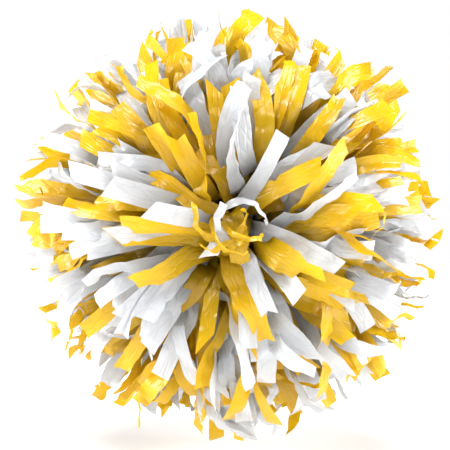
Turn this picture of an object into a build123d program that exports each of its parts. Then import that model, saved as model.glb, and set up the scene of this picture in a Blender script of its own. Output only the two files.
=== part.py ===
from build123d import *
from math import cos, pi, radians, sin
import os

# Cheer pom pom with a hidden baton handle: two heads of slit plastic film, one tied to each end of a
# short baton, which together make one ball. Units are millimetres.
# Origin at the middle of the baton. Y along the baton, the front head towards -Y, +Z up.

# The baton that the hand holds, inside the ball
TUBE_RADIUS = 11.0
TUBE_WALL = 2.0
TUBE_HALF_LENGTH = 52.5

# The spool pressed into each end of the tube: shoulder, neck and lip, counted from the tube's end
SHOULDER_RADIUS = 16.0
SHOULDER_WIDTH = 3.0
NECK_RADIUS = 9.0
NECK_WIDTH = 19.5
LIP_RADIUS = 11.5
LIP_WIDTH = 2.5
SPIGOT_LENGTH = 18.0
SPIGOT_CLEARANCE = 0.05
SPOOL_BORE_RADIUS = 5.0
SPOOL_BORE_DEPTH = 24.0
EDGE = 0.6

# The slit film mats, nested one outside the other round the neck
MAT_COLOURS = ["yellow", "white"] * 4
FILM_THICKNESS = 0.5
MAT_PITCH = 1.0
FIRST_MAT_RADIUS = NECK_RADIUS + 1.4
BAND_START = TUBE_HALF_LENGTH + SHOULDER_WIDTH + 2.5
BAND_WIDTH = 6.0
BAND_STAGGER = 0.7
FLARE = 4.5
FLARE_HEADING = 45.0

# Each mat's skirt leaves the neck at one heading from the baton's axis and curls over to another.
# Strips 152 long reach a little less along their curve, least in the middle mats, where they crumple.
STRIP_REACH = 146.0
CRUMPLE = 0.10
FIRST_START = 5.0
LAST_START = 99.0
FIRST_END = 85.0
LAST_END = 119.0
STRIPS_PER_MAT = 20
SLOT_WIDTH = 1.6
SLOT_START = 1.5

# The cable tie round each head's bands
TIE_GAP = 0.8
TIE_THICKNESS = 1.4
TIE_WIDTH = 4.6
TIE_HEAD_WIDTH = 8.0
TIE_HEAD_HEIGHT = 5.6
TIE_HEAD_DEPTH = 5.4
TIE_SLOT_HEIGHT = 1.6
TIE_TAIL = 4.0

AXIS_TO_Y = Rot(-90, 0, 0)
TURN_TO_FRONT = Rot(0, 0, 180)


def save(shape, node):
    shape.label = node
    export_step(shape, f"parts/{node}.step")


def along(radius, length, start):
    """A solid cylinder on the Y axis, from start towards +Y."""
    return Pos(0, start + length / 2, 0) * (AXIS_TO_Y * Cylinder(radius, length))


def shifted(point, heading, distance):
    """The point moved sideways from a path with this heading, away from the Y axis."""
    return (point[0] + distance * cos(heading), point[1] - distance * sin(heading))


def baton_tube():
    full = 2 * TUBE_HALF_LENGTH
    tube = along(TUBE_RADIUS, full, -TUBE_HALF_LENGTH)
    tube -= along(TUBE_RADIUS - TUBE_WALL, full, -TUBE_HALF_LENGTH)
    return chamfer(tube.edges().filter_by(GeomType.CIRCLE), EDGE / 2)


def end_spool():
    shoulder_end = TUBE_HALF_LENGTH + SHOULDER_WIDTH
    neck_end = shoulder_end + NECK_WIDTH
    spigot_radius = TUBE_RADIUS - TUBE_WALL - SPIGOT_CLEARANCE
    shoulder = along(SHOULDER_RADIUS, SHOULDER_WIDTH, TUBE_HALF_LENGTH)
    lip = along(LIP_RADIUS, LIP_WIDTH, neck_end)
    spool = fillet(shoulder.edges().filter_by(GeomType.CIRCLE), EDGE)
    spool += fillet(lip.edges().filter_by(GeomType.CIRCLE), EDGE)
    spool += along(NECK_RADIUS, NECK_WIDTH, shoulder_end)
    spigot = along(spigot_radius, SPIGOT_LENGTH, TUBE_HALF_LENGTH - SPIGOT_LENGTH)
    spool += chamfer(spigot.edges().group_by(Axis.Y)[0], EDGE)
    return spool - along(SPOOL_BORE_RADIUS, SPOOL_BORE_DEPTH, TUBE_HALF_LENGTH - SPIGOT_LENGTH)


def cable_tie():
    inner = outermost_radius() + TIE_GAP
    outer = inner + TIE_THICKNESS
    start = BAND_START + (BAND_WIDTH - TIE_WIDTH) / 2
    middle = BAND_START + BAND_WIDTH / 2
    strap = along(outer, TIE_WIDTH, start) - along(inner, TIE_WIDTH, start)
    head = Box(TIE_HEAD_WIDTH, TIE_HEAD_DEPTH, TIE_HEAD_HEIGHT)
    head = fillet(head.edges(), EDGE)
    slot_height = outer + TIE_SLOT_HEIGHT
    tail = Box(TIE_HEAD_WIDTH + 2 * TIE_TAIL, TIE_WIDTH - 1, TIE_THICKNESS)
    tie = strap + Pos(0, middle, inner + TIE_HEAD_HEIGHT / 2) * head
    return tie + Pos(0, middle, slot_height) * tail


def outermost_radius():
    return FIRST_MAT_RADIUS + (len(MAT_COLOURS) - 1) * MAT_PITCH + FILM_THICKNESS / 2


def mat_profile(layer):
    """Half section of one mat, radius first and then distance along the baton."""
    share = layer / (len(MAT_COLOURS) - 1)
    radius = FIRST_MAT_RADIUS + layer * MAT_PITCH
    band_end = BAND_START + BAND_WIDTH + (len(MAT_COLOURS) - 1 - layer) * BAND_STAGGER
    root = (radius + FLARE, band_end + FLARE)
    flare = radians(FLARE_HEADING)
    start = radians(FIRST_START + share * (LAST_START - FIRST_START))
    end = radians(FIRST_END + share * (LAST_END - FIRST_END))
    curl_radius = STRIP_REACH * (1 - CRUMPLE * sin(pi * share)) / (end - start)

    def along_curl(heading):
        out = curl_radius * (cos(start) - cos(heading))
        reach = curl_radius * (sin(heading) - sin(start))
        return (root[0] + out, root[1] + reach)

    middle = (start + end) / 2
    stations = [
        ((radius, BAND_START), 0),
        ((radius, band_end), flare / 2),
        (root, (flare + start) / 2),
        (along_curl(middle), middle),
        (along_curl(end), end),
    ]
    inner = [shifted(point, heading, -FILM_THICKNESS / 2) for point, heading in stations]
    outer = [shifted(point, heading, FILM_THICKNESS / 2) for point, heading in stations]
    edges = [
        Polyline(*inner[:3]),
        ThreePointArc(*inner[2:]),
        Line(inner[4], outer[4]),
        ThreePointArc(*outer[2:]),
        Polyline(*outer[:3]),
        Line(outer[0], inner[0]),
    ]
    return make_face(edges)


def film_mat(layer, turn):
    """One slit mat round the back neck: an uncut band and a flared skirt of strips."""
    mat = revolve(mat_profile(layer), Axis.Y, 360)
    first_cut = FIRST_MAT_RADIUS + layer * MAT_PITCH + FLARE + SLOT_START
    cut_length = 2 * STRIP_REACH
    slot = Pos(first_cut + cut_length / 2, 0, 0) * Box(cut_length, 3 * STRIP_REACH, SLOT_WIDTH)
    step = 360 / STRIPS_PER_MAT
    slots = [Rot(0, turn + number * step, 0) * slot for number in range(STRIPS_PER_MAT)]
    return mat - slots


os.makedirs("parts", exist_ok=True)

save(baton_tube(), "baton_tube")
for side, place in (("back", Rot(0, 0, 0)), ("front", TURN_TO_FRONT)):
    save(place * end_spool(), f"{side}_end_spool")
    save(place * cable_tie(), f"{side}_cable_tie")
    for layer, colour in enumerate(MAT_COLOURS):
        half_step = 180 / STRIPS_PER_MAT * (layer % 2)
        save(place * film_mat(layer, half_step), f"{side}_film_{layer + 1}_{colour}")
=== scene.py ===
import math

import bpy
import numpy as np
from mathutils.kdtree import KDTree
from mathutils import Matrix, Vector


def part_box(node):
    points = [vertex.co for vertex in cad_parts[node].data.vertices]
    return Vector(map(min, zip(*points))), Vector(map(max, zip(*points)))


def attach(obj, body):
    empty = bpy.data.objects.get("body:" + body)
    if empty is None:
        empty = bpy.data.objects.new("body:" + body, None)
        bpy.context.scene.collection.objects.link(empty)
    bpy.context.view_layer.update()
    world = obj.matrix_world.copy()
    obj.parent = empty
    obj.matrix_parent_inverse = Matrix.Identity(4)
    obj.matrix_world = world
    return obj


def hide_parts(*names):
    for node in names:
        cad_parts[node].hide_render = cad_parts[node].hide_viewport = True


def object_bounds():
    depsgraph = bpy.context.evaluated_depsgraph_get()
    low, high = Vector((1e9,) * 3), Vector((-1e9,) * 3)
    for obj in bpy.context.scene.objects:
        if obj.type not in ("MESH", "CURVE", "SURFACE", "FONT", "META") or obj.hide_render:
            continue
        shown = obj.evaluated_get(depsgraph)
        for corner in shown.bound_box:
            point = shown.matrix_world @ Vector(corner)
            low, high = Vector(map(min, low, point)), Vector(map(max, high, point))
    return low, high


# Cheer pom pom: two heads of slit film strips on a hidden baton. Metres, Y along the baton, front towards -Y.
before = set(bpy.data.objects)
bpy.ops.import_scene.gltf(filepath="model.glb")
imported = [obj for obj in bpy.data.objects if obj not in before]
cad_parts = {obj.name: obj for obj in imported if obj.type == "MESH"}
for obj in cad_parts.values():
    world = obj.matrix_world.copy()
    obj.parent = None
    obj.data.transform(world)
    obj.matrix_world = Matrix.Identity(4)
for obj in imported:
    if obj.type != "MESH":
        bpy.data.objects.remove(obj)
cad_low, cad_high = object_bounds()

MM = 0.001
BALL_RADIUS = cad_high.x
BALL_DEPTH = cad_high.y
COLOURS = ("yellow", "white")
MATS_PER_HEAD = sum(name.startswith("front_film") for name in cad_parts)

# The camera is this far in front of the ball's middle; the strips that stand out are placed as seen from it
CAMERA_DISTANCE = 0.85

# One strip, as it is slit
STRIP_WIDTH = 12.7 * MM
STRIP_LENGTH = 152 * MM

# The uncut bands nest on the neck under the tie, and each flares past the spool's lip before its strips start
BAND_RADIUS = 10.4 * MM
BAND_PITCH = 1.0 * MM
BAND_HALF = 3.0 * MM
BAND_STAGGER = 0.7 * MM
FLARE = 4.5 * MM
BAND_PLEAT = 0.22 * MM
BAND_PLEATS = 24
LEAD_SHARE = 0.24

# How finely a strip and an uncut band are drawn
STEPS = 40
ACROSS = 6
BAND_ROWS = 7
BAND_CORNERS = 144

# The innermost mat has the fewest strips, and each next one has more. Some are slivers, and neighbours
# often lie in one clump.
FEWEST_STRIPS = 36
MORE_STRIPS = 8
SLIVER_CHANCE = 0.08
NEW_CLUMP_CHANCE = 0.24

# A growing strip turns from its start heading to its end heading, which it reaches before its tip
TURN_RATE = 1.1
TURN_START = 0.06

# It droops, is held in from this share of the ball's radius under its own limit, and is stopped from
# growing on past the middle plane, first gently and then fully
DROOP = 1.4
HELD_DEPTH = 0.10
MIDDLE_SOFT = -8 * MM
MIDDLE_HARD = 4 * MM

# Each step it gives this share of the way, more where it is held and less edgewise, and rolls flat to the
# bend
GIVE = 0.12
GIVE_HELD = 0.25
EDGEWISE_GIVE = 0.45
FLATTEN = 0.10

# A strip with a set tip leans over to it, the more the nearer the tip
AIM_POWER = 1.3

# Strips are pushed towards this far off each other outside the neck
STRIP_GAP = 7 * MM
EASING_ROUNDS = 8

# Easing looks at every second step from the first knot on, moves the steps about each knot with it, and
# fades in along the strip so that the neck stays where it is
FIRST_KNOT = 8
KNOT_EVERY = 2
KNOT_SPREAD = 2.5
EASED_FROM = 4
EASED_FULLY = 16

# A strip is this share of its width where it starts, and its full width from this far along
ROOT_WIDTH = 0.4
FULL_WIDTH_AT = 0.16

# The fold along a strip opens and closes about its mean by this much, so many times along it
FOLD_MEAN = 0.45
FOLD_SWELL = 0.55
FOLD_WAVES = 1.3

UP = np.array([0.0, 0.0, 1.0])
RIGHT = np.array([1.0, 0.0, 0.0])


# ---------------------------------------------------------------- small helpers

def unit(vectors):
    return vectors / np.maximum(np.linalg.norm(vectors, axis=-1, keepdims=True), 1e-9)


def turned(vectors, axes, angles):
    """The vectors turned about unit axes by angles, row by row."""
    c = np.cos(angles)[:, None]
    s = np.sin(angles)[:, None]
    along = (axes * vectors).sum(1)[:, None] * axes
    return vectors * c + np.cross(axes, vectors) * s + along * (1 - c)


def dots(a, b):
    return (a * b).sum(-1)


def triangle_wave(x):
    """A wave of straight folds, from -1 to 1, one fold to each unit of x."""
    return 4 * np.abs(x - np.floor(x + 0.5)) - 1


def smooth_rise(x, low, high):
    t = np.clip((x - low) / (high - low), 0, 1)
    return t * t * (3 - 2 * t)


# ---------------------------------------------------------------- how the strips lie

# The strips that stand out on the front, read off the photograph: colour, angle in degrees
# anticlockwise from the right, how far the tip reaches as a share of the ball's radius, width beside the
# usual, and how far it stands proud
FRONT_STRIPS = [
    ("yellow", 3, 0.63, 1.20, 0.09), ("yellow", -28, 0.52, 1.45, 0.11), ("white", -47, 0.48, 1.05, 0.05),
    ("white", -32, 0.72, 0.95, 0.02), ("white", -11, 0.68, 0.80, 0.00), ("white", -67, 0.48, 0.85, 0.07),
    ("white", -64, 0.71, 0.95, 0.02), ("white", -82, 0.60, 0.90, 0.05), ("yellow", 207, 0.56, 1.05, 0.07),
    ("white", 170, 0.42, 0.95, 0.10), ("white", 192, 0.71, 0.60, 0.02), ("white", 60, 0.50, 0.80, 0.07),
    ("white", 81, 0.72, 0.95, 0.02), ("yellow", 90, 0.70, 1.00, 0.04), ("yellow", 97, 0.70, 0.80, 0.04),
    ("white", 107, 0.75, 1.00, 0.02), ("white", 118, 0.83, 0.90, 0.02), ("yellow", 122, 0.53, 1.00, 0.06),
    ("yellow", 129, 0.60, 1.00, 0.05), ("yellow", 134, 0.78, 0.95, 0.03), ("yellow", 143, 0.80, 0.90, 0.02),
    ("yellow", 150, 0.83, 0.90, 0.02), ("white", 163, 0.63, 1.15, 0.05), ("white", 155, 0.66, 1.00, 0.03),
    ("yellow", 104, 0.88, 0.90, 0.02), ("yellow", 108, 1.00, 0.90, 0.00), ("yellow", 118, 0.95, 0.90, 0.00),
    ("yellow", 169, 1.02, 0.90, 0.00), ("yellow", 178, 1.01, 0.80, 0.02), ("yellow", 199, 0.91, 0.90, 0.02),
    ("yellow", 204, 1.01, 0.60, 0.00), ("yellow", 216, 0.87, 0.90, 0.02), ("yellow", 233, 0.88, 0.90, 0.02),
    ("white", 245, 0.80, 1.00, 0.04), ("yellow", 238, 1.03, 0.90, 0.00), ("yellow", 258, 0.63, 0.80, 0.04),
    ("white", 228, 0.62, 1.00, 0.04), ("white", 236, 0.72, 0.95, 0.03), ("white", 220, 0.70, 0.90, 0.03),
    ("white", 210, 0.74, 0.90, 0.01), ("white", 264, 0.87, 0.90, 0.02), ("yellow", 270, 0.85, 0.90, 0.01),
    ("white", -85, 0.83, 1.10, 0.03), ("white", -87, 0.95, 0.90, 0.01), ("yellow", -88, 1.03, 0.90, 0.00),
    ("yellow", -74, 1.03, 0.80, 0.02), ("yellow", -45, 0.79, 0.95, 0.02), ("yellow", -49, 0.94, 0.90, 0.01),
    ("white", -53, 0.91, 0.90, 0.01), ("yellow", -61, 0.99, 0.90, 0.00), ("yellow", -35, 1.00, 0.90, 0.00),
    ("white", -21, 0.82, 1.00, 0.02), ("yellow", -14, 1.00, 0.90, 0.00), ("yellow", 6, 0.92, 1.00, 0.02),
    ("yellow", 10, 0.90, 0.80, 0.01), ("yellow", 14, 0.84, 0.50, 0.03), ("yellow", 22, 0.81, 0.90, 0.02),
    ("white", 25, 0.67, 0.90, 0.02), ("yellow", 32, 0.52, 1.00, 0.08), ("white", 47, 0.84, 1.10, 0.02),
    ("yellow", 42, 0.85, 1.10, 0.02), ("yellow", 50, 0.93, 0.90, 0.01), ("yellow", 56, 0.97, 0.90, 0.00),
    ("white", 67, 0.91, 0.90, 0.01), ("yellow", 72, 0.95, 0.90, 0.00), ("yellow", 78, 0.99, 0.90, 0.00),
    ("white", 80, 0.87, 0.90, 0.01), ("yellow", 85, 0.99, 0.80, 0.00), ("white", 88, 0.98, 0.80, 0.00),
    ("white", 40, 0.62, 0.90, 0.03), ("white", 182, 0.80, 0.95, 0.01), ("white", 186, 0.60, 0.90, 0.04),
    ("white", 110, 0.10, 0.45, 0.00), ("yellow", -20, 0.15, 0.30, 0.00), ("yellow", -60, 0.13, 0.25, 0.00),
    ("yellow", 60, 0.10, 0.35, -0.02), ("white", 0, 0.16, 0.40, -0.02), ("white", 235, 0.22, 0.70, 0.00),
    ("yellow", 215, 0.16, 0.35, 0.00), ("yellow", 150, 0.20, 0.40, -0.03),
]

# Narrow strips curl at the tip
CURL_WIDTH = 0.5
CURL_PLACES = np.array([0.78, 0.86, 0.94])
CURL_TURN = math.radians(80)

# Random strips may stand out of the ball to this, before a patch lifts them. The innermost mat's have to stay
# lower by the drop, and each next mat's by less.
LIMIT_MOST = 1.04
CROWN_DROP = {"front": 0.16, "back": 0.05}

# The tips of the strips that stand out lie on a round a little fuller than the ball's. None lies closer to
# the middle plane than the square root of the least, as a share of the ball's depth.
TIP_ROUND = 2.4
TIP_LEAST = 0.03

# The strips that stand out are cut shorter, least at the outline. They droop alike, are held in by the
# clearance above their lift, and keep these shares of their random turns and bends.
CUT_SHARE = 0.86
CUT_SHARE_OUT = 0.12
FRONT_DROOP = 0.05
CLEARANCE = 0.08
KEPT_TURN = 0.35
KEPT_BEND = 0.5

# Stretches of the front where one colour shows more, also listed: colour, angle in degrees, share of the
# ball's radius. The other strips are random.
FRONT_PATCHES = [
    ("yellow", 120, 0.45), ("yellow", 145, 0.70), ("white", 75, 0.50), ("white", 115, 0.80),
    ("yellow", 75, 0.95), ("yellow", 45, 0.90), ("yellow", 5, 0.55), ("yellow", 5, 0.90),
    ("white", -20, 0.70), ("white", -70, 0.55), ("yellow", -45, 0.90), ("white", -85, 0.80),
    ("white", 220, 0.65), ("white", 180, 0.70), ("yellow", 235, 0.95), ("yellow", 172, 0.95),
    ("white", 200, 0.90), ("yellow", 265, 0.95), ("white", 240, 0.45), ("white", 195, 0.50),
]
PATCH_ANGLE = math.radians(24)
PATCH_REACH = 0.20
PATCH_LIFT = 0.06

# For the patches, the innermost mat's strips are taken to end this far short of the outline, and each next
# mat's nearer to it
INNERMOST_SHORT = 0.65

# The strips that stand out belong to the first, second, third or fourth mat of their colour by their reach
MAT_REACHES = (0.66, 0.86, 0.97)


def mat_of(colour, reach):
    """The mat of that colour whose strips end about that far out."""
    layer = 2 * int(np.searchsorted(MAT_REACHES, reach))
    return layer + COLOURS.index(colour)


def favour(colour, azimuth, reach):
    """How much more than the other colour this one shows there on the front, from about -1 to 1."""
    total = np.zeros(len(azimuth))
    for patch_colour, clock, patch_reach in FRONT_PATCHES:
        apart = np.angle(np.exp(1j * (azimuth - math.radians(clock)))) / PATCH_ANGLE
        nearness = np.exp(-(apart**2) - ((reach - patch_reach) / PATCH_REACH) ** 2)
        total = total + (nearness if patch_colour == colour else -nearness)
    return total


def clumped(rng, clump, amount, own_amount):
    """A random offset for each strip: one that its whole clump shares, and a smaller one of its own."""
    shared = rng.normal(0, amount, clump.max() + 1)
    return shared[clump] + rng.normal(0, own_amount, len(clump))


def mat_strips(rng, layer, side):
    """Random settings of every strip of one mat, as a dict of arrays. Angles are in radians."""
    count = FEWEST_STRIPS + MORE_STRIPS * layer
    share = layer / (MATS_PER_HEAD - 1)
    clump = np.cumsum(rng.uniform(0, 1, count) < NEW_CLUMP_CHANCE)
    clump = clump - clump.min()
    azimuth = (np.arange(count) + rng.uniform(-0.5, 0.5, count)) * 2 * math.pi / count
    azimuth = azimuth + np.radians(clumped(rng, clump, 8, 3))
    spread = 5 + 9 * (1 - share)
    start = np.radians(-6 + 121 * share) + np.radians(clumped(rng, clump, 8, spread))
    end = np.radians(80 + 40 * share) + np.radians(clumped(rng, clump, 14, 11))
    sliver = rng.uniform(0, 1, count) < SLIVER_CHANCE
    curl = np.where(sliver, rng.choice([-1, 1], count), 0)[:, None]
    kink_at = rng.uniform(0.12, 0.95, (count, 3))
    kink_by = np.radians(rng.normal(0, 30, (count, 3)))
    strips = {
        "side": np.full(count, side),
        "azimuth": azimuth,
        "start": start,
        "end": end,
        "length": STRIP_LENGTH * rng.uniform(0.90, 1.0, count),
        "sweep": np.radians(clumped(rng, clump, 15, 13)),
        "limit": 0.99 + clumped(rng, clump, 0.035, 0.035),
        "gravity": rng.uniform(0.0, 0.14, count),
        "roll": np.radians(rng.normal(0, 50, count)),
        "twist": np.radians(rng.normal(0, 60, count)),
        "kink_at": np.where(sliver[:, None], CURL_PLACES, kink_at),
        "kink_by": np.where(sliver[:, None], curl * CURL_TURN + kink_by, kink_by),
        "kink_slant": np.radians(rng.normal(0, 30, (count, 3))),
        "width": STRIP_WIDTH
        * np.where(sliver, rng.uniform(0.12, 0.3, count), rng.uniform(0.86, 1.06, count)),
        "fold": np.radians(rng.normal(0, 20, count) + 45 * (rng.uniform(0, 1, count) < 0.2)),
        "fold_ripple": rng.uniform(0, 1, count),
        "edge": rng.normal(0, 0.014, (count, 2, STEPS + 1)),
        "nick_at": rng.integers(4, STEPS, (count, 2, 2)),
        "nick": rng.uniform(0.0, 0.45, (count, 2, 2)) * (rng.uniform(0, 1, (count, 2, 2)) < 0.22),
        "crinkle": rng.uniform(0.2, 0.75, (count, 3)) * MM,
        "crinkle_pitch": rng.uniform(9, 32, (count, 3)) * MM,
        "crinkle_slant": np.radians(rng.normal(0, 38, (count, 3))),
        "crinkle_phase": rng.uniform(0, 1, (count, 3)),
        "cut": np.tan(np.radians(np.clip(rng.normal(0, 27, count), -58, 58))),
        "notch": np.where(rng.uniform(0, 1, count) < 0.08, rng.uniform(0.3, 0.8, count), 0.0),
        "tone": rng.uniform(0, 1, count),
        "aimed": np.zeros(count, bool),
        "tip": np.zeros((count, 3)),
        "root_radius": np.full(count, (8.0 + 1.2 * layer) * MM),
    }
    return strips


def curl_between(out, reach, length):
    """Start and end headings of an arc of that length that gets that far out and that far along the axis."""
    chord = math.hypot(out, reach)
    halves = np.linspace(0.01, 2.2, 400)
    half = float(np.interp(-chord / length, -np.sin(halves) / halves, halves))
    middle = math.atan2(out, reach)
    return middle - half, middle + half


def place_front_strips(strips, layer, root_reach):
    """Turns the strips of a front mat that lie nearest into the ones that stand out."""
    free = np.ones(len(strips["azimuth"]), bool)
    for colour, clock, reach, width, lift in FRONT_STRIPS:
        if mat_of(colour, reach) != layer:
            continue
        azimuth = math.radians(clock)
        apart = np.abs(np.angle(np.exp(1j * (strips["azimuth"] - azimuth))))
        k = int(np.argmin(np.where(free, apart, 9)))
        free[k] = False
        share = min(reach, 1.0) ** TIP_ROUND
        depth = BALL_DEPTH * math.sqrt(max(TIP_LEAST, 1 - share)) * (1 + lift)
        out = reach * BALL_RADIUS * (1 - depth / CAMERA_DISTANCE)
        length = strips["length"][k] * (CUT_SHARE + CUT_SHARE_OUT * share)
        start, end = curl_between(out - strips["root_radius"][k], depth - root_reach, length)
        strips["azimuth"][k] = azimuth
        strips["start"][k] = start
        strips["end"][k] = end
        strips["length"][k] = length
        strips["sweep"][k] *= KEPT_BEND
        strips["limit"][k] = 1.0 + lift + CLEARANCE
        strips["gravity"][k] = FRONT_DROOP
        strips["roll"][k] *= KEPT_TURN
        strips["twist"][k] *= KEPT_TURN
        strips["kink_by"][k] *= KEPT_BEND
        strips["width"][k] = STRIP_WIDTH * width
        strips["fold"][k] *= KEPT_BEND
        if width < CURL_WIDTH:
            strips["kink_at"][k] = CURL_PLACES
            strips["kink_by"][k] = CURL_TURN
        strips["aimed"][k] = True
        strips["tip"][k] = (out * math.cos(azimuth), -depth, out * math.sin(azimuth))


def grown(strips, root_reach):
    """Centre lines and width directions of the strips, grown step by step from the neck."""
    count = len(strips["azimuth"])
    axis = np.zeros((count, 3))
    axis[:, 1] = strips["side"]
    azimuth = strips["azimuth"][:, None]
    outward = np.cos(azimuth) * RIGHT + np.sin(azimuth) * UP
    point = axis * root_reach + outward * strips["root_radius"][:, None]
    start = strips["start"][:, None]
    tangent = unit(np.cos(start) * axis + np.sin(start) * outward)
    across = turned(unit(np.cross(axis, outward)), tangent, strips["roll"])
    size = np.array([BALL_RADIUS, BALL_DEPTH, BALL_RADIUS])
    step = strips["length"][:, None] / STEPS
    kink_steps = np.round(strips["kink_at"] * STEPS).astype(int)
    points = [point]
    acrosses = [across]
    for number in range(STEPS):
        share = number / STEPS
        heading = strips["start"] + (strips["end"] - strips["start"]) * min(1, share * TURN_RATE + TURN_START)
        swept = (strips["azimuth"] + strips["sweep"] * share)[:, None]
        radial = np.cos(swept) * RIGHT + np.sin(swept) * UP
        wish = np.cos(heading)[:, None] * axis + np.sin(heading)[:, None] * radial
        wish = wish - UP * (strips["gravity"] * share * DROOP)[:, None]
        fullness = np.linalg.norm(point / size, axis=1)
        surface = unit(point / size**2)
        held = smooth_rise(fullness, strips["limit"] - HELD_DEPTH, strips["limit"])
        wish = wish - surface * (np.maximum(dots(wish, surface), 0) * held)[:, None]
        past_middle = smooth_rise(-dots(point, axis), MIDDLE_SOFT, MIDDLE_HARD)
        wish = wish + axis * (np.maximum(-dots(wish, axis), 0) * past_middle)[:, None]
        wish = unit(wish)
        bend = np.cross(tangent, wish)
        normal = np.cross(tangent, across)
        give = GIVE + GIVE_HELD * held
        about_across = dots(bend, across) * give
        about_normal = dots(bend, normal) * give * EDGEWISE_GIVE
        align = dots(np.cross(across, unit(bend)), tangent)
        align = np.where(dots(across, bend) < 0, -align, align)
        roll = strips["twist"] / STEPS + FLATTEN * align * np.linalg.norm(bend, axis=1)
        for k in range(kink_steps.shape[1]):
            here = kink_steps[:, k] == number
            about_across = about_across + here * strips["kink_by"][:, k] * np.cos(strips["kink_slant"][:, k])
            roll = roll + here * strips["kink_by"][:, k] * np.sin(strips["kink_slant"][:, k])
        spin = across * about_across[:, None] + normal * about_normal[:, None] + tangent * roll[:, None]
        angle = np.linalg.norm(spin, axis=1)
        spin_axis = unit(spin)
        tangent = unit(turned(tangent, spin_axis, angle))
        across = turned(across, spin_axis, angle)
        across = unit(across - tangent * dots(across, tangent)[:, None])
        point = point + tangent * step
        points.append(point)
        acrosses.append(across)
    points = np.stack(points, 1)
    miss = np.where(strips["aimed"][:, None], strips["tip"] - points[:, -1], 0)
    lean = np.linspace(0, 1, STEPS + 1)[None, :, None] ** AIM_POWER
    return points + miss[:, None, :] * lean, np.stack(acrosses, 1)


def neck_profile(layer, tie_middle):
    """Radii of one mat's uncut part, and their places along the axis: band edge, band end, strips' root."""
    radius = BAND_RADIUS + layer * BAND_PITCH
    band_end = tie_middle + BAND_HALF + (MATS_PER_HEAD - 1 - layer) * BAND_STAGGER
    return (radius, radius, radius + FLARE), (tie_middle - BAND_HALF, band_end, band_end + FLARE)


def led_from_neck(points, strips, root_reach, root):
    """The centre lines with their first part moved out, so that they start at the edge of the uncut part."""
    azimuth = strips["azimuth"][:, None]
    shift = (np.cos(azimuth) * RIGHT + np.sin(azimuth) * UP) * (root[0] - strips["root_radius"])[:, None]
    shift[:, 1] += strips["side"] * (root[1] - root_reach)
    fade = 1 - smooth_rise(np.linspace(0, 1, STEPS + 1), 0, LEAD_SHARE)
    return points + shift[:, None, :] * fade[None, :, None]


def eased_apart(points):
    """The centre lines of one head, pushed off each other where two strips come closer than STRIP_GAP."""
    count, rows = points.shape[:2]
    knots_at = np.arange(FIRST_KNOT, rows, KNOT_EVERY)
    strip_of = np.repeat(np.arange(count), len(knots_at))
    steps_apart = np.arange(rows)[:, None] - knots_at[None, :]
    spread = np.exp(-((steps_apart / KNOT_SPREAD) ** 2))
    spread = spread / spread.sum(1, keepdims=True)
    spread = spread * smooth_rise(np.arange(rows), EASED_FROM, EASED_FULLY)[:, None]
    for _ in range(EASING_ROUNDS):
        knots = points[:, knots_at].reshape(-1, 3)
        tree = KDTree(len(knots))
        for number, knot in enumerate(knots):
            tree.insert(knot, number)
        tree.balance()
        pairs = [
            (number, other)
            for number, knot in enumerate(knots)
            for _, other, _ in tree.find_range(knot, STRIP_GAP)
            if strip_of[other] > strip_of[number]
        ]
        first, second = np.array(pairs).T
        between = knots[first] - knots[second]
        apart = np.linalg.norm(between, axis=1, keepdims=True)
        push = between / np.maximum(apart, 1e-6) * (STRIP_GAP - apart) / 2
        shift = np.zeros_like(knots)
        np.add.at(shift, first, push)
        np.add.at(shift, second, -push)
        points = points + np.einsum("rk,ckd->crd", spread, shift.reshape(count, len(knots_at), 3))
    return points


def strip_edges(strips):
    """Half widths of every strip along its two edges, with their wobble and nicks."""
    count = len(strips["width"])
    half = np.repeat(strips["width"][:, None, None] / 2, 2, axis=1) * (1 + strips["edge"])
    rows = np.arange(count)
    for edge in range(2):
        for k in range(strips["nick_at"].shape[2]):
            half[rows, edge, strips["nick_at"][:, edge, k]] *= 1 - strips["nick"][:, edge, k]
    return half


def strip_surface(strips, points, acrosses):
    """Vertex places, one grid of STEPS by ACROSS cells for each strip, with where each is on its strip."""
    count = len(points)
    v = np.linspace(-1, 1, ACROSS + 1)
    half_width = strips["width"][:, None] / 2
    cut_back = (np.abs(strips["cut"])[:, None] + strips["cut"][:, None] * v) * half_width
    notch_back = strips["notch"][:, None] * (1 - np.abs(v)) * half_width
    end = 1 - (cut_back + notch_back) / strips["length"][:, None]
    s = np.linspace(0, 1, STEPS + 1)[None, :, None] * end[:, None, :]
    place = np.clip(s * STEPS, 0, STEPS - 1e-6)
    low = place.astype(int)
    part = (place - low)[..., None]
    rows = np.arange(count)[:, None, None]
    centre = points[rows, low] * (1 - part) + points[rows, low + 1] * part
    across = unit(acrosses[rows, low] * (1 - part) + acrosses[rows, low + 1] * part)
    tangent = unit(points[rows, low + 1] - points[rows, low])
    normal = unit(np.cross(tangent, across))
    along = s * strips["length"][:, None, None]
    half = strip_edges(strips)
    side_half = np.where(v[None, None, :] < 0, half[:, 0, :, None], half[:, 1, :, None])
    sideways = v[None, None, :] * side_half
    ripple = np.cos(2 * math.pi * (s * FOLD_WAVES + strips["fold_ripple"][:, None, None]))
    swell = FOLD_MEAN + FOLD_SWELL * ripple
    fold = strips["fold"][:, None, None] * swell
    height = np.sin(fold) * (np.abs(sideways) - half_width[:, :, None] / 2)
    for k in range(strips["crinkle"].shape[1]):
        slant = strips["crinkle_slant"][:, k, None, None]
        pitch = strips["crinkle_pitch"][:, k, None, None]
        phase = strips["crinkle_phase"][:, k, None, None]
        wave = triangle_wave((along * np.cos(slant) + sideways * np.sin(slant)) / pitch + phase)
        height = height + strips["crinkle"][:, k, None, None] * wave
    narrow = ROOT_WIDTH + (1 - ROOT_WIDTH) * smooth_rise(s, 0.0, FULL_WIDTH_AT)
    flat = sideways * np.cos(fold) * narrow
    place = centre + across * flat[..., None] + normal * (height * narrow)[..., None]
    return place, along, sideways


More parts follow.
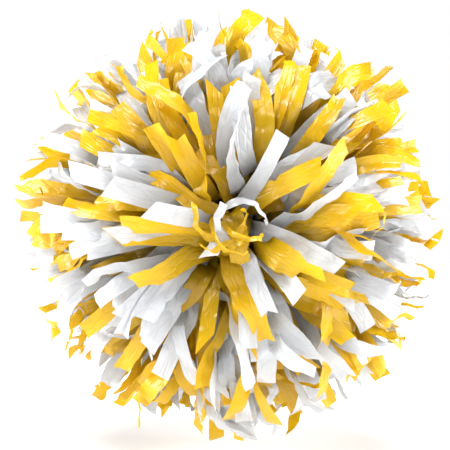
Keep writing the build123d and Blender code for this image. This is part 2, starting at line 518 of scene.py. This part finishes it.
def neck_surface(profile, side):
    """Vertex places of the uncut part, a pleated ring round the axis, with where each is on its film."""
    radii, reaches = profile
    run = np.concatenate([[0], np.cumsum(np.hypot(np.diff(radii), np.diff(reaches)))])
    along = np.linspace(0, run[-1], BAND_ROWS)[:, None]
    angle = np.arange(BAND_CORNERS)[None, :] * 2 * math.pi / BAND_CORNERS
    radius = np.interp(along, run, radii) + BAND_PLEAT * np.sin(BAND_PLEATS * angle)
    reach = np.interp(along, run, reaches) + 0 * angle
    place = np.stack([radius * np.cos(angle), side * reach, radius * np.sin(angle)], -1)
    return place, along - run[-1] + 0 * angle, radius * angle


def grid_quads(index):
    """The cells of one or more grids of vertex numbers."""
    cells = [index[..., :-1, :-1], index[..., 1:, :-1], index[..., 1:, 1:], index[..., :-1, 1:]]
    return np.stack(cells, -1).reshape(-1, 4)


def film_mesh(name, strips, surface, neck):
    """One mesh of a mat's uncut part and all its strips, with the attributes that its material reads."""
    place, along, sideways = surface
    neck_place, neck_along, neck_sideways = neck
    index = np.arange(along.size).reshape(along.shape)
    neck_index = along.size + np.arange(neck_along.size).reshape(neck_along.shape)
    closed = np.concatenate([neck_index, neck_index[:, :1]], 1)
    quads = np.concatenate([grid_quads(index), grid_quads(closed)])
    corners = np.concatenate([place.reshape(-1), neck_place.reshape(-1)])
    mesh = bpy.data.meshes.new(name)
    mesh.vertices.add(along.size + neck_along.size)
    mesh.vertices.foreach_set("co", corners.astype(np.float32))
    mesh.loops.add(quads.size)
    mesh.loops.foreach_set("vertex_index", quads.reshape(-1).astype(np.int32))
    mesh.polygons.add(len(quads))
    mesh.polygons.foreach_set("loop_start", np.arange(0, quads.size, 4, dtype=np.int32))
    mesh.polygons.foreach_set("use_smooth", np.ones(len(quads), dtype=bool))
    mesh.update()
    mesh.validate()
    seed = np.broadcast_to(strips["tone"][:, None, None], along.shape)
    film = np.stack([along, sideways + seed * PATTERN_SHIFT, seed], -1)
    neck_film = np.stack([neck_along, neck_sideways, 0 * neck_along], -1)
    attribute = mesh.attributes.new("film", "FLOAT_VECTOR", "POINT")
    values = np.concatenate([film.reshape(-1), neck_film.reshape(-1)])
    attribute.data.foreach_set("vector", values.astype(np.float32))
    return mesh


def make_mat(node, colour, side_name, strips, surface, neck):
    """One mat as one piece in place of its CAD node."""
    mesh = film_mesh(node + "_strips", strips, surface, neck)
    mesh.materials.append(FILM[colour])
    mat = bpy.data.objects.new(node + "_strips", mesh)
    bpy.context.scene.collection.objects.link(mat)
    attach(mat, f"{side_name}_head")
    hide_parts(node)


def make_head(side_name, side):
    """All the mats of one head, grown one by one and then eased apart together."""
    tie_low, tie_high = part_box(f"{side_name}_cable_tie")
    root_reach = max(abs(tie_low.y), abs(tie_high.y))
    tie_middle = abs(tie_low.y + tie_high.y) / 2
    mats = []
    lines = []
    for layer in range(MATS_PER_HEAD):
        rng = np.random.default_rng(1000 * (side > 0) + 17 * layer + 5)
        strips = mat_strips(rng, layer, side)
        innermost = 1 - layer / (MATS_PER_HEAD - 1)
        strips["limit"] = np.minimum(strips["limit"], LIMIT_MOST) - CROWN_DROP[side_name] * innermost
        if side_name == "front":
            reach = 1 - INNERMOST_SHORT * innermost
            strips["limit"] += PATCH_LIFT * favour(COLOURS[layer % 2], strips["azimuth"], reach)
            place_front_strips(strips, layer, root_reach)
        points, acrosses = grown(strips, root_reach)
        radii, reaches = neck_profile(layer, tie_middle)
        mats.append((strips, acrosses))
        lines.append(led_from_neck(points, strips, root_reach, (radii[-1], reaches[-1])))
    points = eased_apart(np.concatenate(lines))
    ends = np.cumsum([len(line) for line in lines])
    for layer, (strips, acrosses) in enumerate(mats):
        colour = COLOURS[layer % 2]
        node = f"{side_name}_film_{layer + 1}_{colour}"
        own = points[ends[layer] - len(acrosses):ends[layer]]
        surface = strip_surface(strips, own, acrosses)
        neck = neck_surface(neck_profile(layer, tie_middle), side)
        make_mat(node, colour, side_name, strips, surface, neck)


# ---------------------------------------------------------------- materials

def new_material(name):
    material = bpy.data.materials.new(name)
    material.use_nodes = True
    nodes = material.node_tree.nodes
    nodes.clear()
    return material, nodes, material.node_tree.links


def bump_node(nodes, strength, height):
    bump = nodes.new("ShaderNodeBump")
    bump.inputs["Strength"].default_value = strength
    bump.inputs["Distance"].default_value = height
    return bump


# Painted shade: the film's colour is darkened where the strips lie packed near the neck and left full where
# they are loose
PACKED_LENGTH = 45 * MM
LOOSE_LENGTH = 122 * MM
PAINTED_ROOT_SHADE = 0.05

# Streaks and creases to each metre along the strip and across it, and how they differ from strip to strip
STREAKS = (18, 420, 9)
CREASES = (75, 230, 40)

# A crease is a groove that reaches this far into its cell, and its middle is painted a thin darker line of
# shade
CREASE_EDGE = 0.16
CREASE_LINE = 0.05
CREASE_SHADE = 0.93

# Strength and height in metres of the creases' bump and of the streaks' finer one
CREASE_BUMP = (0.38, 0.0006)
STREAK_BUMP = (0.25, 0.0004)

# Each strip takes its streaks and creases from its own stretch of the pattern, within this many metres
PATTERN_SHIFT = 3.0

# How far the strips' own tones and the streaks each go towards the deeper colour
TONE_SHARE = 0.55
STREAK_SHARE = 0.45

# The film's gloss, and how much of its light comes through it
FILM_ROUGHNESS = 0.32
FILM_IOR = 1.42
THROUGH_SHARE = 0.22


def film_material(name, base, deep, through):
    """Thin glossy film: creased, streaked along its length, a little clear, with painted shade near the root
    and on its creases.
    """
    material, nodes, links = new_material(name)
    film = nodes.new("ShaderNodeAttribute")
    film.attribute_name = "film"
    split = nodes.new("ShaderNodeSeparateXYZ")
    links.new(film.outputs["Vector"], split.inputs[0])

    streak_space = nodes.new("ShaderNodeVectorMath")
    streak_space.operation = "MULTIPLY"
    streak_space.inputs[1].default_value = STREAKS
    links.new(film.outputs["Vector"], streak_space.inputs[0])
    streaks = nodes.new("ShaderNodeTexNoise")
    streaks.inputs["Scale"].default_value = 1.0
    streaks.inputs["Detail"].default_value = 3.0
    links.new(streak_space.outputs[0], streaks.inputs["Vector"])

    crease_space = nodes.new("ShaderNodeVectorMath")
    crease_space.operation = "MULTIPLY"
    crease_space.inputs[1].default_value = CREASES
    links.new(film.outputs["Vector"], crease_space.inputs[0])
    creases = nodes.new("ShaderNodeTexVoronoi")
    creases.feature = "DISTANCE_TO_EDGE"
    creases.inputs["Scale"].default_value = 1.0
    links.new(crease_space.outputs[0], creases.inputs["Vector"])
    sharp = nodes.new("ShaderNodeMapRange")
    sharp.inputs["From Max"].default_value = CREASE_EDGE
    links.new(creases.outputs["Distance"], sharp.inputs["Value"])

    tone = nodes.new("ShaderNodeMapRange")
    tone.inputs["To Max"].default_value = TONE_SHARE
    links.new(split.outputs["Z"], tone.inputs["Value"])
    streak_share = nodes.new("ShaderNodeMath")
    streak_share.operation = "MULTIPLY_ADD"
    streak_share.inputs[1].default_value = STREAK_SHARE
    links.new(streaks.outputs["Fac"], streak_share.inputs[0])
    links.new(tone.outputs["Result"], streak_share.inputs[2])
    colour = nodes.new("ShaderNodeMix")
    colour.data_type = "RGBA"
    colour.inputs["A"].default_value = (*base, 1)
    colour.inputs["B"].default_value = (*deep, 1)
    links.new(streak_share.outputs[0], colour.inputs["Factor"])
    # Painted shade: the colour and the light through the film are darkened towards the strip's root
    root_shade_painted = nodes.new("ShaderNodeMapRange")
    root_shade_painted.inputs["From Min"].default_value = PACKED_LENGTH
    root_shade_painted.inputs["From Max"].default_value = LOOSE_LENGTH
    root_shade_painted.inputs["To Min"].default_value = PAINTED_ROOT_SHADE
    links.new(split.outputs["X"], root_shade_painted.inputs["Value"])
    # Painted shade: a thin darker line along the middle of each crease
    lines = nodes.new("ShaderNodeMapRange")
    lines.inputs["From Max"].default_value = CREASE_LINE
    lines.inputs["To Min"].default_value = CREASE_SHADE
    links.new(creases.outputs["Distance"], lines.inputs["Value"])
    painted_shade = nodes.new("ShaderNodeMath")
    painted_shade.operation = "MULTIPLY"
    links.new(root_shade_painted.outputs["Result"], painted_shade.inputs[0])
    links.new(lines.outputs["Result"], painted_shade.inputs[1])
    shaded = nodes.new("ShaderNodeVectorMath")
    shaded.operation = "SCALE"
    links.new(colour.outputs["Result"], shaded.inputs[0])
    links.new(painted_shade.outputs[0], shaded.inputs["Scale"])
    # The light through the film is darkened by the same painted shade near the root
    lit_through = nodes.new("ShaderNodeVectorMath")
    lit_through.operation = "SCALE"
    lit_through.inputs[0].default_value = through
    links.new(root_shade_painted.outputs["Result"], lit_through.inputs["Scale"])

    small = bump_node(nodes, *CREASE_BUMP)
    links.new(sharp.outputs["Result"], small.inputs["Height"])
    fine = bump_node(nodes, *STREAK_BUMP)
    links.new(streaks.outputs["Fac"], fine.inputs["Height"])
    links.new(small.outputs["Normal"], fine.inputs["Normal"])

    gloss = nodes.new("ShaderNodeBsdfPrincipled")
    gloss.inputs["Roughness"].default_value = FILM_ROUGHNESS
    gloss.inputs["IOR"].default_value = FILM_IOR
    links.new(shaded.outputs[0], gloss.inputs["Base Color"])
    links.new(fine.outputs["Normal"], gloss.inputs["Normal"])
    glow = nodes.new("ShaderNodeBsdfTranslucent")
    links.new(lit_through.outputs[0], glow.inputs["Color"])
    links.new(fine.outputs["Normal"], glow.inputs["Normal"])
    mix = nodes.new("ShaderNodeMixShader")
    mix.inputs["Fac"].default_value = THROUGH_SHARE
    links.new(gloss.outputs[0], mix.inputs[1])
    links.new(glow.outputs[0], mix.inputs[2])
    out = nodes.new("ShaderNodeOutputMaterial")
    links.new(mix.outputs[0], out.inputs["Surface"])
    return material


# Moulded plastic: how deep its flow marks go, and the strength and height in metres of its grain
FLOW_SHADE = 0.86
GRAIN_BUMP = (0.15, 0.0002)


def plastic_material(name, base, roughness, grain):
    """Moulded plastic with a fine grain and faint flow marks."""
    material, nodes, links = new_material(name)
    place = nodes.new("ShaderNodeNewGeometry")
    noise = nodes.new("ShaderNodeTexNoise")
    noise.inputs["Scale"].default_value = grain
    noise.inputs["Detail"].default_value = 4.0
    links.new(place.outputs["Position"], noise.inputs["Vector"])
    colour = nodes.new("ShaderNodeMix")
    colour.data_type = "RGBA"
    colour.inputs["A"].default_value = (*base, 1)
    colour.inputs["B"].default_value = (*[FLOW_SHADE * c for c in base], 1)
    links.new(noise.outputs["Fac"], colour.inputs["Factor"])
    bump = bump_node(nodes, *GRAIN_BUMP)
    links.new(noise.outputs["Fac"], bump.inputs["Height"])
    shader = nodes.new("ShaderNodeBsdfPrincipled")
    shader.inputs["Roughness"].default_value = roughness
    links.new(colour.outputs["Result"], shader.inputs["Base Color"])
    links.new(bump.outputs["Normal"], shader.inputs["Normal"])
    out = nodes.new("ShaderNodeOutputMaterial")
    links.new(shader.outputs[0], out.inputs["Surface"])
    return material


def dress_hard_parts():
    """The baton, spools and ties keep their CAD shape and get a moulded plastic each."""
    baton = plastic_material("baton_plastic", (0.78, 0.78, 0.76), 0.38, 700)
    spool = plastic_material("spool_plastic", (0.70, 0.70, 0.68), 0.45, 900)
    nylon = plastic_material("tie_nylon", (0.84, 0.84, 0.80), 0.32, 1200)
    finishes = {"baton_tube": baton, "end_spool": spool, "cable_tie": nylon}
    for node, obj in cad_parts.items():
        for ending, finish in finishes.items():
            if node.endswith(ending):
                obj.data.materials.clear()
                obj.data.materials.append(finish)


# ---------------------------------------------------------------- stage, light and camera

# The floor, in metres to its rim, lies this many ball radii below the ball's middle
FLOOR_RADIUS = 4.0
FLOOR_CORNERS = 96
FLOOR_DROP = 1.10

# It glows with the near strength at first, and from the one to the other number of ball radii rises to full
GLOW_NEAR = 0.3
GLOW_FROM = 2
GLOW_FULL = 8


def make_stage():
    """A round pale floor just under the ball, lit up to plain white away from it."""
    floor_height = -FLOOR_DROP * BALL_RADIUS
    angles = np.arange(FLOOR_CORNERS) * 2 * math.pi / FLOOR_CORNERS
    vertices = [(FLOOR_RADIUS * math.cos(a), FLOOR_RADIUS * math.sin(a), floor_height) for a in angles]
    mesh = bpy.data.meshes.new("floor")
    mesh.from_pydata(vertices, [], [tuple(range(FLOOR_CORNERS))])
    floor = bpy.data.objects.new("floor", mesh)
    bpy.context.scene.collection.objects.link(floor)
    material, nodes, links = new_material("pale_floor")
    place = nodes.new("ShaderNodeNewGeometry")
    distance = nodes.new("ShaderNodeVectorMath")
    distance.operation = "LENGTH"
    links.new(place.outputs["Position"], distance.inputs[0])
    lit = nodes.new("ShaderNodeMapRange")
    lit.inputs["From Min"].default_value = GLOW_FROM * BALL_RADIUS
    lit.inputs["From Max"].default_value = GLOW_FULL * BALL_RADIUS
    lit.inputs["To Min"].default_value = GLOW_NEAR
    links.new(distance.outputs["Value"], lit.inputs["Value"])
    shader = nodes.new("ShaderNodeBsdfPrincipled")
    shader.inputs["Base Color"].default_value = (0.93, 0.93, 0.93, 1)
    shader.inputs["Roughness"].default_value = 0.9
    shader.inputs["Specular IOR Level"].default_value = 0.1
    shader.inputs["Emission Color"].default_value = (1, 1, 1, 1)
    links.new(lit.outputs["Result"], shader.inputs["Emission Strength"])
    out = nodes.new("ShaderNodeOutputMaterial")
    links.new(shader.outputs[0], out.inputs["Surface"])
    mesh.materials.append(material)


# The white world lights the ball this much; the camera sees it at full strength
WORLD_STRENGTH = 0.08

# Name, place, width and power of each lamp
LAMPS = [
    ("key", (-0.45, -1.4, 1.4), 0.45, 22),
    ("left", (-1.7, -0.2, 0.2), 0.9, 44),
    ("right", (1.7, -0.2, 0.3), 0.9, 44),
    ("top", (0.1, -0.1, 1.8), 0.9, 40),
]

# The ball's radius and the small shift of the picture, as shares of the picture's width
BALL_SHARE = 0.47778
SHIFT_X = -0.01333
SHIFT_Y = -0.00222


def area_light(name, place, size, power):
    light = bpy.data.lights.new(name, "AREA")
    light.shape = "DISK"
    light.size = size
    light.energy = power
    lamp = bpy.data.objects.new(name, light)
    bpy.context.scene.collection.objects.link(lamp)
    lamp.location = place
    lamp.visible_camera = False
    direction = -np.array(place, float)
    pitch = math.atan2(math.hypot(direction[0], direction[1]), -direction[2])
    lamp.rotation_euler = (pitch, 0, math.atan2(-direction[0], direction[1]))


def make_light():
    world = bpy.data.worlds.new("studio")
    bpy.context.scene.world = world
    world.use_nodes = True
    nodes = world.node_tree.nodes
    background = nodes["Background"]
    background.inputs["Color"].default_value = (1, 1, 1, 1)
    seen = nodes.new("ShaderNodeLightPath")
    strength = nodes.new("ShaderNodeMapRange")
    strength.inputs["To Min"].default_value = WORLD_STRENGTH
    world.node_tree.links.new(seen.outputs["Is Camera Ray"], strength.inputs["Value"])
    world.node_tree.links.new(strength.outputs["Result"], background.inputs["Strength"])
    for lamp in LAMPS:
        area_light(*lamp)
    bpy.context.scene.view_settings.view_transform = "Standard"


def make_camera():
    """Straight on to the front head, level with the baton."""
    camera_data = bpy.data.cameras.new("camera")
    camera = bpy.data.objects.new("camera", camera_data)
    bpy.context.scene.collection.objects.link(camera)
    apparent = math.tan(math.asin(BALL_RADIUS / CAMERA_DISTANCE))
    camera_data.lens = BALL_SHARE * camera_data.sensor_width / apparent
    camera_data.shift_x = SHIFT_X
    camera_data.shift_y = SHIFT_Y
    camera.location = (0, -CAMERA_DISTANCE, 0)
    camera.rotation_euler = (math.pi / 2, 0, 0)
    bpy.context.scene.camera = camera


FILM = {
    "yellow": film_material("yellow_film", (0.75, 0.470, 0.008), (0.67, 0.38, 0.006), (0.95, 0.60, 0.012)),
    "white": film_material("white_film", (0.66, 0.68, 0.71), (0.58, 0.60, 0.63), (0.77, 0.79, 0.82)),
}

make_camera()
make_light()
make_stage()
dress_hard_parts()
make_head("front", -1)
make_head("back", 1)
